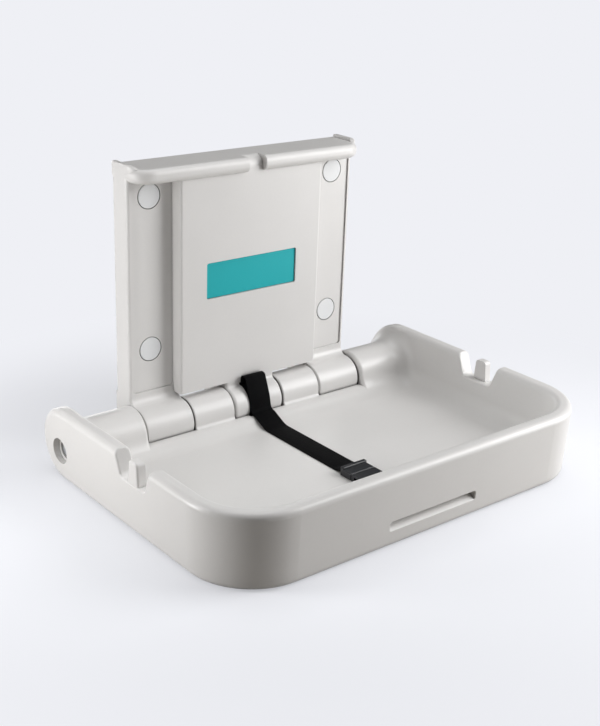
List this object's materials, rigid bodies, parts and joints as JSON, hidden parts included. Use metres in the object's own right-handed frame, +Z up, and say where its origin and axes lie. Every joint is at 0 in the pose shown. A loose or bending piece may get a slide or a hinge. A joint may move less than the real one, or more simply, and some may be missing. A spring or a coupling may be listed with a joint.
{
  "type": "baby changing station",
  "caption": "Wall-mounted folding changing station: a tub-shaped bed with hook notches hinges on a rod below a bolted back panel, with a safety strap and buckle.",
  "frame": {"origin": "centre of the four wall bolts, on the wall plane at the back cover's rear face", "axes": "+X to the right along the hinge, +Y into the wall, +Z up; the bed opens towards -Y"},
  "size_m": [0.859, 0.6325, 0.5645],
  "materials": {
    "moulded_plastic": "off-white moulded polyethylene with a fine satin grain",
    "cover_plastic": "plain grey sheet moulding",
    "cap_plastic": "slightly bluish light grey, satin",
    "sign_teal": "teal, smooth and bare",
    "zinc_steel": "zinc plated",
    "anchor_steel": "black powder coat",
    "bush_plastic": "natural acetal",
    "damper_plastic": "black glass-filled nylon",
    "webbing": "black woven polyester webbing",
    "buckle_plastic": "black acetal, satin"
  },
  "bodies": {
    "panel": {"panel_shell": "moulded_plastic", "panel_back_cover": "cover_plastic", "cover_screws": "zinc_steel", "sign_plate": "sign_teal", "bolt_cap_lower_left": "cap_plastic", "bolt_cap_upper_left": "cap_plastic", "bolt_cap_lower_right": "cap_plastic", "bolt_cap_upper_right": "cap_plastic", "bolt_sleeves": "zinc_steel", "hinge_bush_left": "bush_plastic", "hinge_bush_center": "bush_plastic", "hinge_bush_right": "bush_plastic", "damper_housing_left": "damper_plastic", "damper_housing_right": "damper_plastic"},
    "bed": {"bed_shell": "moulded_plastic", "hinge_rod": "zinc_steel", "rod_nut_left": "zinc_steel", "rod_nut_right": "zinc_steel", "rod_washer_left": "zinc_steel", "rod_washer_right": "zinc_steel", "damper_rotor_left": "damper_plastic", "damper_rotor_right": "damper_plastic", "safety_strap": "webbing", "buckle_plug": "buckle_plastic", "front_strap": "webbing", "strap_anchor": "anchor_steel", "anchor_screws": "zinc_steel"},
    "socket": {"buckle_socket": "buckle_plastic"}
  },
  "joints": [
    {"name": "bed_fold", "type": "hinge", "parent": "panel", "child": "bed", "pos_m": [0, -0.087, -0.2975], "axis": [-1, 0, 0], "range_deg": [0, 90], "deforming": ["safety_strap"]},
    {"name": "buckle_release", "type": "slide", "parent": "bed", "child": "socket", "axis": [0, -1, 0], "range_m": [0, 0.036], "deforming": ["front_strap"]}
  ]
}
